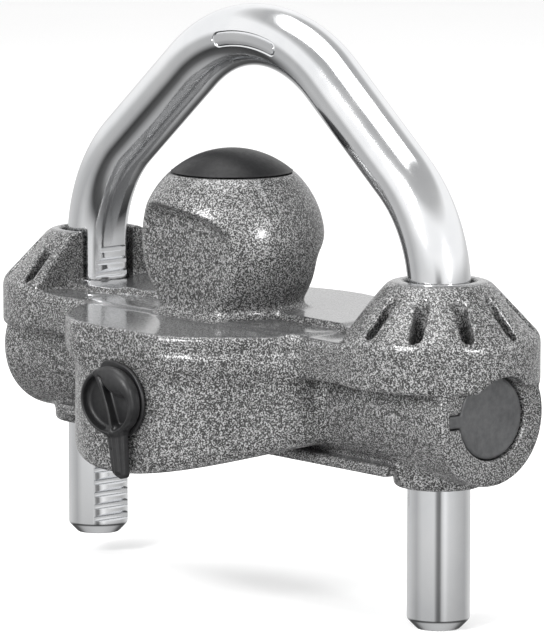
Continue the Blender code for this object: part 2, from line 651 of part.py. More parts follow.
def make_dust_cover():
    """The oval lid with a pull tab hanging below it."""
    oval = arc(LOCK_X, LOCK_Z, COVER_HALF_X, 0, 352, 44, COVER_HALF_Z)
    cover = outline("dust_cover", [oval], -55.0, -51.6, "XZ", tool=False, bevel=0.9)
    tab = lock_points([(-1.6, -6.0), (5.9, -6.0), (5.9, -10.0), (6.3, -19.0), (3.9, -20.1),
                       (1.1, -19.0), (-1.2, -10.0)])
    join(cover, outline("pull_tab", [tab], -54.0, -51.7, "XZ", bevel=0.6))

    # two scoops with a slanting rib between them, for finger and thumb
    rib = [(1.0 - 0.47 * z - 0.022 * z * z, z) for z in (6.7, 5.0, 2.5, 0.0, -2.5, -5.0, -6.7)]
    for side, first, last in ((-1, 292, 112), (1, -66, 106)):
        scoop = lock_points([(x + side * 0.5, z) for x, z in rib])
        scoop += arc(LOCK_X - 0.1, LOCK_Z - 0.2, 9.0, first, last, 10, 7.3)[1:-1]
        cut(cover, outline("scoop", [scoop], -60.0, -52.5, "XZ"))

    # a flattened nub stands forward over the top of the right scoop
    nub = turned("cover_nub", [(0, 2.2), (1.9, 1.95), (3.3, 1.1), (3.9, 0), (3.6, -1.2),
                               (3.5, -2.5), (0, -2.5)],
                 20, (LOCK_X + 4.8, -54.7, LOCK_Z + 6.0), tool=True)
    nub.rotation_euler = (math.pi / 2, 0.0, 0.0)
    nub.scale = (1.0, 0.72, 1.0)
    join(cover, nub)
    finish(cover, RUBBER)
    set_origin(cover, LOCK_X, HINGE_Y, HINGE_Z)


# ---------------------------------------------------------------- assembly
make_body()
make_ball_cap()
make_shackle()
make_end_plug()
make_ratchet_bolt()
make_bolt_spring()
make_spring_seat()
make_lock_housing()
make_housing_pin()
make_lock_plug()
make_wafers()
make_plug_clip()
make_lock_cam()
make_cover_ring()
make_dust_cover()

# from the drawing's datum to the frame's origin
for group in (PARTS, CUTTERS):
    for obj in group.objects:
        obj.location.y -= ORIGIN_Y * MM
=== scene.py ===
"""Looks of a trailer coupler lock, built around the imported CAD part.

A cast body with a half ball on its plate, a tube along x under it, a lock in front and a chrome shackle
whose legs run down through the plate. +x is the end with the bore plug, -y is the front, +z is up.
Lengths are in millimetres from a datum midway between the shackle legs' axes; OFFSET moves them to the
frame's origin and MM turns them into metres. The stage, the lights and the camera are in metres.
"""

import math

import bmesh
import bpy
import numpy as np
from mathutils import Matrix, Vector


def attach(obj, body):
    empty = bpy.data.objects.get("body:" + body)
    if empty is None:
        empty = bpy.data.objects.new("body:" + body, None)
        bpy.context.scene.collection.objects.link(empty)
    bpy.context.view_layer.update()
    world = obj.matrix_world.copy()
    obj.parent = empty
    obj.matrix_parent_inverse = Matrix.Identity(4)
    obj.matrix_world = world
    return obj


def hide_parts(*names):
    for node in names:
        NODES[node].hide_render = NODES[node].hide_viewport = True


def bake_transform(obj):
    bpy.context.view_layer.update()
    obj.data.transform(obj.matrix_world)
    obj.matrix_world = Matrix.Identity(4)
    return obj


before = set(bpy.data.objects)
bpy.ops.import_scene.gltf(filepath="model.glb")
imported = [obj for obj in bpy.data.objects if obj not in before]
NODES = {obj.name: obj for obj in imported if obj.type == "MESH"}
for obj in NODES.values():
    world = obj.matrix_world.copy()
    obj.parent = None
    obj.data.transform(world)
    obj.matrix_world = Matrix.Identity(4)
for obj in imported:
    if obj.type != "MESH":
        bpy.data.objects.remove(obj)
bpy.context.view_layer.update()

MM = 0.001
OFFSET = (0.0, -22.0, 0.0)
LEG_X = 67.5  # the shackle legs' axes are at x = -LEG_X and x = LEG_X
BAR_RADIUS = 7.9375
BALL_RADIUS, BALL_Y, BALL_Z = 23.8125, -10.2, 17.3
TUBE_Z = -19.1
LOCK_X, LOCK_Z = 3.0, -19.6


# ---------------------------------------------------------------- distance functions
def join(a, b, rounding):
    """Union with a filleted seam."""
    share = np.clip(0.5 + 0.5 * (b - a) / rounding, 0.0, 1.0)
    return b * (1 - share) + a * share - rounding * share * (1 - share)


def meet(a, b, rounding):
    """Intersection with a rounded edge."""
    return -join(-a, -b, rounding)


def carve(shape, tool, rounding):
    return meet(shape, -tool, rounding)


def between(value, low, high):
    return np.maximum(low - value, value - high)


def smooth_step(start, end, value):
    t = np.clip((value - start) / (end - start), 0.0, 1.0)
    return t * t * (3 - 2 * t)


def rounded(offsets, radius):
    """A box with round corners, from the distances beyond the half sizes of the box less its radius."""
    outside = np.sqrt(sum(np.maximum(q, 0) ** 2 for q in offsets))
    return outside + np.minimum(np.maximum.reduce(offsets), 0) - radius


def box(x, y, z, low, high, radius):
    return rounded([np.abs(v - (a + b) / 2) - ((b - a) / 2 - radius)
                    for v, a, b in zip((x, y, z), low, high)], radius)


def beyond_line(r, z, start, end):
    """Distance from a line in the (r, z) plane, positive to the left of the way from start to end."""
    dr, dz = end[0] - start[0], end[1] - start[1]
    length = math.hypot(dr, dz)
    return (r - start[0]) * (-dz / length) + (z - start[1]) * (dr / length)


def oval_wall(u, w, a, b):
    """Near-distance to an ellipse with half axes a and b."""
    k = np.hypot(u / a, w / b)
    slope = np.hypot(u / a ** 2, w / b ** 2)
    return k * (k - 1.0) / np.maximum(slope, 1e-4)


# ---------------------------------------------------------------- meshing a distance function
def add_object(name, data):
    obj = bpy.data.objects.new(name, data)
    bpy.context.scene.collection.objects.link(obj)
    return obj


def sample(func, axes):
    """The function on the grid, 48 layers at a time; values near zero are moved off it."""
    field = np.empty([len(a) for a in axes], np.float32)
    for start in range(0, len(axes[0]), 48):
        layers = slice(start, start + 48)
        field[layers] = func(*np.meshgrid(axes[0][layers], axes[1], axes[2], indexing="ij"))
    field[np.abs(field) < 1e-6] = 1e-6
    return field


def cell_points(field, cells):
    """In each cell, the mean of the points where its edges cross zero, in grid steps."""
    total = np.zeros((len(cells), 3))
    count = np.zeros(len(cells))
    for axis in range(3):
        others = [a for a in range(3) if a != axis]
        for shift in np.ndindex(2, 2):
            start = cells.copy()
            start[:, others] += shift
            end = start.copy()
            end[:, axis] += 1
            f0, f1 = field[tuple(start.T)], field[tuple(end.T)]
            cross = (f0 < 0) != (f1 < 0)
            point = start.astype(float)
            point[:, axis] += np.where(cross, f0 / np.where(cross, f0 - f1, 1.0), 0.0)
            total[cross] += point[cross]
            count[cross] += 1
    return total / count[:, None]


def crossing_quads(inside, index):
    """A quad of the four cells around every grid edge that crosses the surface."""
    quads = []
    for axis in range(3):
        others = [[1, 2], [2, 0], [0, 1]][axis]
        near = [slice(1, -1)] * 3
        far = list(near)
        near[axis] = slice(None, -1)
        far[axis] = slice(1, None)
        starts_in = inside[tuple(near)]
        edges = np.argwhere(starts_in != inside[tuple(far)])
        flip = ~starts_in[tuple(edges.T)]
        edges[:, others] += 1
        corners = []
        for shift in ((-1, -1), (0, -1), (0, 0), (-1, 0)):
            cell = edges.copy()
            cell[:, others] += shift
            corners.append(index[tuple(cell.T)])
        quad = np.stack(corners, 1)
        quad[flip] = quad[flip][:, ::-1]
        quads.append(quad)
    return np.concatenate(quads)


def settle(func, points, cell):
    """Moves the points onto func = 0 in three steps, each at most 0.35 of a cell."""
    nudge = cell * 0.05
    for _ in range(3):
        x, y, z = points.T
        value = func(x, y, z)
        slope = np.stack([func(x + nudge, y, z) - func(x - nudge, y, z),
                          func(x, y + nudge, z) - func(x, y - nudge, z),
                          func(x, y, z + nudge) - func(x, y, z - nudge)], 1) / (2 * nudge)
        squared = np.maximum((slope * slope).sum(1), 0.25)
        move = -(value / squared)[:, None] * slope
        size = np.linalg.norm(move, axis=1)
        move *= np.minimum(1.0, 0.35 * cell / np.maximum(size, 1e-9))[:, None]
        points = points + move
    return points


def drop_small_islands(bm, smallest):
    """Deletes loose islands of fewer vertices than the smallest allowed, but never the largest island."""
    seen, islands = set(), []
    for first in bm.verts:
        if first in seen:
            continue
        stack, island = [first], [first]
        seen.add(first)
        while stack:
            for edge in stack.pop().link_edges:
                for vert in edge.verts:
                    if vert not in seen:
                        seen.add(vert)
                        stack.append(vert)
                        island.append(vert)
        islands.append(island)
    largest = max(islands, key=len)
    for island in islands:
        if island is not largest and len(island) < smallest:
            bmesh.ops.delete(bm, geom=island, context="VERTS")


def face_outwards(mesh, smallest_island=0):
    bm = bmesh.new()
    bm.from_mesh(mesh)
    if smallest_island:
        drop_small_islands(bm, smallest_island)
    bmesh.ops.recalc_face_normals(bm, faces=bm.faces)
    bm.to_mesh(mesh)
    bm.free()


def surface(name, func, low, high, cell):
    """A closed mesh of func = 0 inside the box low..high, from a grid of the given cell."""
    axes = [a + cell * np.arange(int(math.ceil((b - a) / cell)) + 1) for a, b in zip(low, high)]
    field = sample(func, axes)
    inside = field < 0
    nx, ny, nz = [n - 1 for n in inside.shape]
    corners_in = np.zeros((nx, ny, nz), np.int8)
    for i, j, k in np.ndindex(2, 2, 2):
        corners_in += inside[i:nx + i, j:ny + j, k:nz + k]
    active = (corners_in > 0) & (corners_in < 8)
    cells = np.argwhere(active)
    index = np.full(active.shape, -1, np.int64)
    index[active] = np.arange(len(cells))
    quads = crossing_quads(inside, index)
    points = settle(func, cell_points(field, cells) * cell + np.array(low), cell)

    mesh = bpy.data.meshes.new(name)
    mesh.vertices.add(len(points))
    mesh.vertices.foreach_set("co", ((points + np.array(OFFSET)) * MM).astype(np.float32).ravel())
    mesh.loops.add(quads.size)
    mesh.loops.foreach_set("vertex_index", quads.astype(np.int32).ravel())
    mesh.polygons.add(len(quads))
    mesh.polygons.foreach_set("loop_start", np.arange(0, quads.size, 4, dtype=np.int32))
    mesh.update(calc_edges=True)
    mesh.validate()
    face_outwards(mesh, smallest_island=400)
    mesh.shade_smooth()
    return add_object(name, mesh)


# ---------------------------------------------------------------- the casting
PLATE_BOTTOM, DISC_RADIUS, ARM_HALF_DEPTH = -11.9, 43.0, 25.0
SKIRT_X, SKIRT_RADIUS, SKIRT_CORE_RADIUS, SKIRT_TOP = 1.8, 41.6, 36.6, -8.0
TUBE_RADIUS, BORE_RADIUS, GROOVE_RADIUS = 17.4, 10.8, 11.9
BOSS_RADIUS, LOCK_BORE_RADIUS = 12.8, 9.0
NECK_RADIUS, STEM_HOLE_RADIUS, BALL_FLAT_Z = 18.0, 5.3, 34.9
FRONT_WALL_Y, REAR_WALL_Y = BALL_Y - 15.0, BALL_Y + 11.0
TURRET_TOP, TURRET_RADIUS, COLLAR_RADIUS, LEG_HOLE_RADIUS = 13.2, 25.2, 11.4, 8.8
TURRET_CONE = ((12.9, 12.7), (25.15, -0.35))  # (radius, z) at the cone's top and foot
TURRET_FACETS = ((1, 11.4), (-1, 4.9))  # (side, distance from the leg's axis in to the flat)
SLOT_STEP, SLOT_COUNT = 32.5, 6  # degrees, from the front round the outer side
SLOT_START, SLOT_END, SLOT_HALF_WIDTH, SLOT_BOTTOM = 16.7, 22.3, 1.75, -9.5


def plate(x, y, z):
    """A disc under the ball with a hollow skirt below it, and an arm out to each leg."""
    side = np.abs(x)
    # the top rises by 1.6 behind a line that lies further forward near the legs
    rise_y = -11.5 - 2.6 * smooth_step(40.0, 56.0, side)
    above = z - (-1.6 + 1.6 * smooth_step(rise_y - 0.7, rise_y + 0.7, y))
    disc = meet(np.hypot(x, y - BALL_Y) - DISC_RADIUS, above, 1.6)
    disc = meet(disc, PLATE_BOTTOM - z, 4.0)
    radial = np.hypot(x - SKIRT_X, y - BALL_Y)
    arched_bottom = -38.6 + (x + 3.0) ** 2 / 215.0
    skirt = meet(radial - SKIRT_RADIUS, z - SKIRT_TOP, 0.5)
    skirt = meet(skirt, arched_bottom - z, 3.0)
    disc = join(disc, skirt, 2.6)
    disc = carve(disc, meet(radial - SKIRT_CORE_RADIUS, z - SKIRT_TOP, 2.0), 1.2)
    arms = meet(meet(np.abs(y) - ARM_HALF_DEPTH, above, 1.8), PLATE_BOTTOM - z, 1.6)
    return join(disc, np.maximum(arms, side - LEG_X), 2.6)


def add_tube_and_boss(body, x, y, z):
    """The tube along x, the flange under it and the lock's boss along y."""
    tube = meet(np.hypot(y, z - TUBE_Z) - TUBE_RADIUS, x - 87.0, 1.3)
    tube = meet(tube, -88.4 - x, 5.0)
    body = join(body, tube, 2.4)
    body = join(body, box(x, y, z, (-65.5, -16.2, -35.2), (65.5, 16.2, -32.4), 0.8), 1.0)
    boss = meet(np.hypot(x - LOCK_X, z - LOCK_Z) - BOSS_RADIUS, y + 11.0, 1.0)
    return join(body, meet(boss, -48.6 - y, 1.0), 1.5)


def ball(x, y, z):
    """The ball on its neck, cut away in front and behind under sloping ceilings."""
    radial = np.hypot(x, y - BALL_Y)
    shape = np.sqrt(radial ** 2 + (z - BALL_Z) ** 2) - BALL_RADIUS
    shape = join(shape, np.maximum(radial - NECK_RADIUS, between(z, -9.5, BALL_Z)), 2.0)
    front_ceiling = 28.6 - 0.012 * (x + 4.0) ** 2 - 0.16 * (FRONT_WALL_Y - y)
    shape = carve(shape, meet(y - FRONT_WALL_Y, z - front_ceiling, 6.5), 1.3)
    rear_ceiling = 14.3 + 0.70 * (y - REAR_WALL_Y)
    return carve(shape, meet(REAR_WALL_Y - y, z - rear_ceiling, 2.2), 1.1)


def add_turret(body, x, y, z, side, facet):
    """A cone round a leg, flat on its inner side above z = -1.9, and a collar below."""
    radial = np.hypot(x - side * LEG_X, y)
    turret = meet(z - TURRET_TOP, beyond_line(radial, z, *TURRET_CONE), 1.5)
    turret = meet(turret, radial - TURRET_RADIUS, 1.2)
    turret = meet(turret, -12.2 - z, 1.3)
    upper = meet(turret, (LEG_X - facet) - side * x, 0.9)
    lower = meet(turret, z + 1.9, 0.8)
    body = join(body, np.minimum(upper, lower), 1.1)
    collar = meet(meet(radial - COLLAR_RADIUS, -38.5 - z, 1.6), z + 24.0, 1.0)
    return join(body, collar, 1.8)


def cut_turret(body, x, y, z, side):
    """Radial slots round a turret's outer side, and the leg's hole."""
    from_leg = x - side * LEG_X
    for i in range(SLOT_COUNT):
        angle = math.radians(SLOT_STEP * i)
        dx, dy = side * math.sin(angle), -math.cos(angle)
        along = from_leg * dx + y * dy
        across = -from_leg * dy + y * dx
        past_end = np.maximum(between(along, SLOT_START, SLOT_END), 0.0)
        stadium = np.hypot(past_end, across) - SLOT_HALF_WIDTH
        body = carve(body, np.maximum(stadium, SLOT_BOTTOM - z), 0.35)
    # the hole on the -x side widens at the top
    widening = 0.9 * smooth_step(-0.5, 1.0, z) if side < 0 else 0.0
    return carve(body, np.hypot(from_leg, y) - LEG_HOLE_RADIUS - widening, 0.6)


def cut_bores(body, x, y, z):
    in_tube = np.hypot(y, z - TUBE_Z)
    body = carve(body, np.maximum(in_tube - BORE_RADIUS, between(x, -62.0, 98.0)), 0.7)
    groove = np.maximum(in_tube - GROOVE_RADIUS, between(x, 49.2, 51.0))
    body = np.maximum(body, -groove)
    key_notch = np.maximum(np.abs(z - TUBE_Z) - 1.9, np.abs(y + 11.1) - 3.1)
    body = carve(body, np.maximum(key_notch, 81.9 - x), 0.5)
    lock = np.hypot(x - LOCK_X, z - LOCK_Z) - LOCK_BORE_RADIUS
    body = carve(body, np.maximum(lock, between(y, -56.0, -8.0)), 0.4)
    pin = np.maximum(np.hypot(x - LOCK_X, y + 30.0) - 1.8, z + 27.0)
    return carve(body, pin, 0.3)


def casting(x, y, z):
    body = add_tube_and_boss(plate(x, y, z), x, y, z)
    body = join(body, ball(x, y, z), 3.6)
    for side, facet in TURRET_FACETS:
        body = add_turret(body, x, y, z, side, facet)
    # a flat front, and a relief low at the rear
    body = carve(body, y + 50.0, 1.0)
    relief = np.maximum(np.maximum(16.5 - y, z + 26.3), np.abs(x) - 50.0)
    body = carve(body, relief, 1.2)
    for side in (1, -1):
        body = cut_turret(body, x, y, z, side)
    body = cut_bores(body, x, y, z)
    # the cap's stem hole, and the flat on top of the ball
    radial = np.hypot(x, y - BALL_Y)
    body = np.maximum(body, -np.maximum(radial - STEM_HOLE_RADIUS, 24.0 - z))
    return meet(body, z - BALL_FLAT_Z - 1000.0 * (radial > 40.0), 0.35)


# ---------------------------------------------------------------- materials
class Shader:
    """Adds nodes to a tree. Inputs take a number, an RGB colour or another node's output."""

    def __init__(self, tree):
        self.tree = tree
        self.coords = self.node("ShaderNodeTexCoord").outputs

    def feed(self, socket, value):
        if isinstance(value, bpy.types.NodeSocket):
            self.tree.links.new(value, socket)
        else:
            socket.default_value = (*value, 1.0) if isinstance(value, tuple) else value

    def node(self, kind, **values):
        """A node with its inputs and settings by name; settings that change its inputs come first."""
        n = self.tree.nodes.new(kind)
        for key, value in values.items():
            if key in n.inputs:
                self.feed(n.inputs[key], value)
            else:
                setattr(n, key, value)
        return n

    def principled(self, values):
        for key, value in values.items():
            self.feed(self.tree.nodes["Principled BSDF"].inputs[key], value)

    def noise(self, scale, detail=2.0, roughness=0.5, distortion=0.0):
        return self.node("ShaderNodeTexNoise", Vector=self.coords["Object"], Scale=scale, Detail=detail,
                         Roughness=roughness, Distortion=distortion).outputs["Fac"]

    def ramp(self, fac, stops):
        """stops holds (position, grey or RGB)."""
        n = self.node("ShaderNodeValToRGB", Fac=fac)
        while len(n.color_ramp.elements) < len(stops):
            n.color_ramp.elements.new(0.5)
        for element, (position, value) in zip(n.color_ramp.elements, stops):
            element.position = position
            colour = value if isinstance(value, tuple) else (value, value, value)
            element.color = (*colour, 1.0)
        return n.outputs["Color"]

    def bump(self, height, strength, distance):
        return self.node("ShaderNodeBump", Strength=strength, Distance=distance,
                         Height=height).outputs["Normal"]

    def mix(self, factor, a, b):
        return self.node("ShaderNodeMix", data_type="RGBA", Factor=factor, A=a, B=b).outputs["Result"]

    def maths(self, operation, a, b):
        n = self.node("ShaderNodeMath", operation=operation)
        self.feed(n.inputs[0], a)
        self.feed(n.inputs[1], b)
        return n.outputs[0]

    def weighted(self, a, a_weight, b, b_weight):
        return self.maths("ADD", self.maths("MULTIPLY", a, a_weight), self.maths("MULTIPLY", b, b_weight))


def new_material(name):
    mat = bpy.data.materials.new(name)
    mat.use_nodes = True
    return mat, Shader(mat.node_tree)


def hammertone():
    """Grey vein paint: light metallic flecks between dark veins, smoother on faces that look up."""
    mat, shader = new_material("hammertone_paint")
    fine = shader.noise(scale=2700.0, distortion=0.3)
    coarse = shader.noise(scale=1000.0, distortion=0.2)
    broad = shader.noise(scale=28.0)
    pattern = shader.weighted(fine, 0.78, coarse, 0.22)
    drift = shader.maths("MULTIPLY", shader.maths("SUBTRACT", broad, 0.5), 0.05)
    pattern = shader.maths("ADD", pattern, drift)
    flecks = shader.ramp(pattern, [(0.40, 0.005), (0.47, 0.022), (0.53, 0.15), (0.60, 0.36)])
    normal = shader.node("ShaderNodeNewGeometry").outputs["Normal"]
    facing = shader.node("ShaderNodeSeparateXYZ", Vector=normal).outputs["Z"]
    flat = shader.ramp(facing, [(0.90, 0.0), (0.985, 1.0)])
    flat_grey = (0.060, 0.061, 0.063)
    shader.principled({
        "Base Color": shader.mix(shader.maths("MULTIPLY", flat, 0.72), flecks, flat_grey),
        "Metallic": shader.ramp(pattern, [(0.42, 0.0), (0.60, 0.35)]),
        "Roughness": shader.ramp(pattern, [(0.40, 0.55), (0.60, 0.38)]),
        "Coat Weight": shader.maths("ADD", shader.maths("MULTIPLY", flat, 0.5), 0.5),
        "Coat Roughness": 0.13,
        "Normal": shader.bump(pattern, strength=0.45, distance=0.00012)})
    return mat


def chrome():
    """Polished plating with a faint haze."""
    mat, shader = new_material("bright_chrome")
    haze = shader.noise(scale=60.0, detail=3.0, roughness=0.6)
    shader.principled({
        "Base Color": shader.ramp(haze, [(0.35, (0.76, 0.77, 0.785)), (0.65, (0.83, 0.835, 0.845))]),
        "Metallic": 1.0,
        "Roughness": shader.ramp(haze, [(0.3, 0.10), (0.7, 0.17)]),
        "Normal": shader.bump(shader.noise(scale=700.0), strength=0.05, distance=0.00003)})
    return mat


def satin(name, dark, light, roughness, metallic, scale, height=0.00006, specular=0.5):
    """A mottled finish between two colours, with a bump of the given height in metres."""
    mat, shader = new_material(name)
    grain = shader.noise(scale=scale, detail=4.0, roughness=0.6)
    patches = shader.noise(scale=scale / 9.0, detail=3.0)
    mottle = shader.weighted(grain, 0.6, patches, 0.4)
    shader.principled({
        "Base Color": shader.ramp(mottle, [(0.35, dark), (0.65, light)]),
        "Roughness": shader.ramp(mottle, [(0.35, roughness + 0.06), (0.65, roughness - 0.05)]),
        "Metallic": metallic,
        "Specular IOR Level": specular,
        "Normal": shader.bump(grain, strength=0.4, distance=height)})
    return mat


# slot name: material
FINISHES = {
    "body_paint": hammertone(),
    "shackle_chrome": chrome(),
    "cap": satin("cap_enamel", dark=(0.006, 0.006, 0.0065), light=(0.012, 0.012, 0.013),
                 roughness=0.40, metallic=0.0, scale=900.0, specular=0.22),
    "plug": satin("plug_enamel", dark=(0.050, 0.051, 0.053), light=(0.085, 0.086, 0.088),
                  roughness=0.45, metallic=0.2, scale=700.0, height=0.00012),
    "steel": satin("ground_steel", dark=(0.36, 0.36, 0.37), light=(0.48, 0.48, 0.49),
                   roughness=0.30, metallic=1.0, scale=500.0),
    "spring": satin("spring_wire", dark=(0.25, 0.25, 0.27), light=(0.38, 0.38, 0.40),
                    roughness=0.28, metallic=1.0, scale=400.0),
    "brass": satin("lock_brass", dark=(0.60, 0.43, 0.17), light=(0.74, 0.56, 0.27),
                   roughness=0.28, metallic=1.0, scale=450.0),
    "zinc": satin("die_cast_zinc", dark=(0.42, 0.42, 0.44), light=(0.56, 0.56, 0.58),
                  roughness=0.40, metallic=1.0, scale=500.0),
    "rubber": satin("black_rubber", dark=(0.006, 0.006, 0.0065), light=(0.014, 0.014, 0.015),
                    roughness=0.46, metallic=0.0, scale=800.0, height=0.00010),
}


def set_material(obj, slot):
    obj.data.materials.clear()
    obj.data.materials.append(FINISHES[slot])


def dress(obj, slot, body, replaced):
    set_material(obj, slot)
    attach(obj, body)
    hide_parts(replaced)


cast = surface("casting", casting, (-94.2, -51.3, -39.8), (94.2, 34.6, 36.2), cell=0.62)
dress(cast, "body_paint", "body", "lock_body")


# ---------------------------------------------------------------- turned and swept pieces
def mesh_object(name, verts, faces):
    mesh = bpy.data.meshes.new(name)
    mesh.from_pydata([tuple((c + o) * MM for c, o in zip(v, OFFSET)) for v in verts], [], faces)
    mesh.update()
    return add_object(name, mesh)


def smooth(obj, angle):
    """Smooth shading with sharp edges above the angle, in degrees."""
    face_outwards(obj.data)
    obj.data.shade_smooth()
    obj.data.set_sharp_from_angle(angle=math.radians(angle))


def revolve(name, profile, segments, place):
    """A turned shape from (radius, height) between its two poles; place maps it to the datum."""
    verts, faces, rings = [], [], []
    for radius, height in profile:
        count = 1 if radius < 1e-6 else segments
        rings.append(list(range(len(verts), len(verts) + count)))
        for i in range(count):
            a = 2 * math.pi * i / segments
            verts.append(place(radius * math.cos(a), radius * math.sin(a), height))
    for upper, lower in zip(rings, rings[1:]):
        for i in range(segments):
            j = (i + 1) % segments
            if len(upper) == 1:
                faces.append((upper[0], lower[i], lower[j]))
            elif len(lower) == 1:
                faces.append((upper[i], lower[0], upper[j]))
            else:
                faces.append((upper[i], lower[i], lower[j], upper[j]))
    obj = mesh_object(name, verts, faces)
    smooth(obj, 35.0)
    return obj


def tube_faces(rings, sides, looped=False):
    """Quads between rings of vertices; the last ring joins the first, or both ends are capped."""
    faces = []
    for i in range(rings if looped else rings - 1):
        j = (i + 1) % rings
        for k in range(sides):
            m = (k + 1) % sides
            faces.append((i * sides + k, i * sides + m, j * sides + m, j * sides + k))
    if not looped:
        faces.append(tuple(reversed(range(sides))))
        faces.append(tuple(range((rings - 1) * sides, rings * sides)))
    return faces


def circle(centre, side, up, radius, sides):
    angles = [2 * math.pi * k / sides for k in range(sides)]
    return [centre + (side * math.cos(a) + up * math.sin(a)) * radius for a in angles]


def sweep(name, path, radii, sides):
    """A round bar through a list of points, each with its radius."""
    path = [Vector(p) for p in path]
    verts = []
    tangent = (path[1] - path[0]).normalized()
    side = tangent.orthogonal().normalized()
    for i, point in enumerate(path):
        ahead = (path[min(i + 1, len(path) - 1)] - path[max(i - 1, 0)]).normalized()
        side = tangent.rotation_difference(ahead) @ side
        side = (side - ahead * side.dot(ahead)).normalized()
        tangent = ahead
        verts += circle(point, side, tangent.cross(side), radii[i], sides)
    return mesh_object(name, verts, tube_faces(len(path), sides))


def subtract(obj, *tools):
    """Cuts the tools out of the object's mesh and removes them."""
    for tool in tools:
        mod = obj.modifiers.new("cut", "BOOLEAN")
        mod.solver = "EXACT"
        mod.operation = "DIFFERENCE"
        mod.object = tool
    graph = bpy.context.evaluated_depsgraph_get()
    graph.update()
    mesh = bpy.data.meshes.new_from_object(obj.evaluated_get(graph))
    obj.modifiers.clear()
    obj.data = mesh
    for tool in tools:
        bpy.data.objects.remove(tool, do_unlink=True)


# ---------------------------------------------------------------- ball cap
CAP_RADIUS, CAP_STEPS = 15.45, 24
# (radius, z) of the small rounded rim, the underside and the stem
CAP_UNDERSIDE = [(15.62, 35.36), (15.66, 35.28), (15.60, 35.2), (5.0, 35.2), (5.0, 25.2), (4.4, 24.5),
                 (0.0, 24.5)]


def ball_cap():
    """A dome that completes the ball."""
    profile = [(0.0, BALL_Z + BALL_RADIUS)]
    edge = math.asin(CAP_RADIUS / BALL_RADIUS)
    for i in range(1, CAP_STEPS + 1):
        t = edge * i / CAP_STEPS
        profile.append((BALL_RADIUS * math.sin(t), BALL_Z + BALL_RADIUS * math.cos(t)))
    return revolve("cap_dome", profile + CAP_UNDERSIDE, 128, lambda x, y, h: (x, y + BALL_Y, h))


dress(ball_cap(), "cap", "body", "ball_cap")

# ---------------------------------------------------------------- shackle
BEND_Z, BEND_RADIUS, BEND_ANGLE, APEX_RADIUS = 9.2, 37.0, math.radians(50.5), 43.0
ARC_STEPS = 22
RIGHT_END_Z, LEFT_END_Z = -74.6, -69.0
# (height above the leg's end, change of radius)
LEG_END = [(0.0, -2.3), (0.35, -1.9), (2.0, -0.32), (2.35, -0.08), (2.9, 0.0)]
TOOTH_PITCH, FIRST_LEDGE_Z, TOOTH_COUNT, TOOTH_DEPTH = 3.3, -65.3, 23, 2.6
TOOL_HALF_DEPTH = 9.0
OVAL_ANGLE, OVAL_LIFT = math.radians(87.5), -0.6  # its middle on the bow's arc, and above the axis
OVAL_HALF_LENGTH, OVAL_HALF_HEIGHT = 12.2, 1.75
GROOVE_WIRE, GROOVE_SINK = 0.40, 0.10  # radius of the cutting ring, and how far it stands proud


def centre_line():
    """(x, z) along the bow, from the +x leg over the apex to the -x leg."""
    points = [(LEG_X, z) for z in (-30.0, -10.0, BEND_Z)]
    for i in range(1, ARC_STEPS + 1):
        t = BEND_ANGLE * i / ARC_STEPS
        points.append((LEG_X - BEND_RADIUS + BEND_RADIUS * math.cos(t),
                       BEND_Z + BEND_RADIUS * math.sin(t)))
    # a straight run joins the bend to the apex arc
    x0, z0 = points[-1]
    x1 = APEX_RADIUS * math.cos(BEND_ANGLE)
    z1 = z0 + (x0 - x1) / math.sin(BEND_ANGLE) * math.cos(BEND_ANGLE)
    centre_z = z1 - APEX_RADIUS * math.sin(BEND_ANGLE)
    for i in range(ARC_STEPS + 1):
        t = BEND_ANGLE + (math.pi / 2 - BEND_ANGLE) * i / ARC_STEPS
        points.append((APEX_RADIUS * math.cos(t), centre_z + APEX_RADIUS * math.sin(t)))
    return points + [(-x, z) for x, z in reversed(points[:-1])]


def tooth_cutter():
    """The ratchet teeth's gaps on the inner side of the -x leg; the top three get shallower."""
    face_x = -LEG_X + BAR_RADIUS
    comb = []
    for k in range(TOOTH_COUNT):
        z = FIRST_LEDGE_Z + TOOTH_PITCH * k
        top = z + TOOTH_PITCH
        root = face_x - TOOTH_DEPTH + max(0.0, (k - (TOOTH_COUNT - 4)) * 0.45)
        comb += [(face_x + 0.6, z), (root + 0.15, z), (root, z + 0.15), (root, z + 1.0),
                 (root + 0.2, z + 1.3), (face_x - 0.12, top - 0.82), (face_x + 0.10, top - 0.70),
                 (face_x + 0.6, top - 0.55)]
    comb += [(face_x + 4.0, comb[-1][1]), (face_x + 4.0, comb[0][1])]
    verts = [(x, y, z) for y in (-TOOL_HALF_DEPTH, TOOL_HALF_DEPTH) for x, z in comb]
    obj = mesh_object("teeth", verts, tube_faces(2, len(comb)))
    face_outwards(obj.data)
    return obj


def bend_cutter():
    """A disc that cuts a shallow flat inside the -x bend."""
    radius, depth = 29.45, TOOL_HALF_DEPTH
    return revolve("run_out", [(0.0, depth), (radius, depth), (radius, -depth), (0.0, -depth)], 160,
                   lambda x, y, h: (x - LEG_X + BEND_RADIUS - 0.45, h, y + BEND_Z - 0.5))


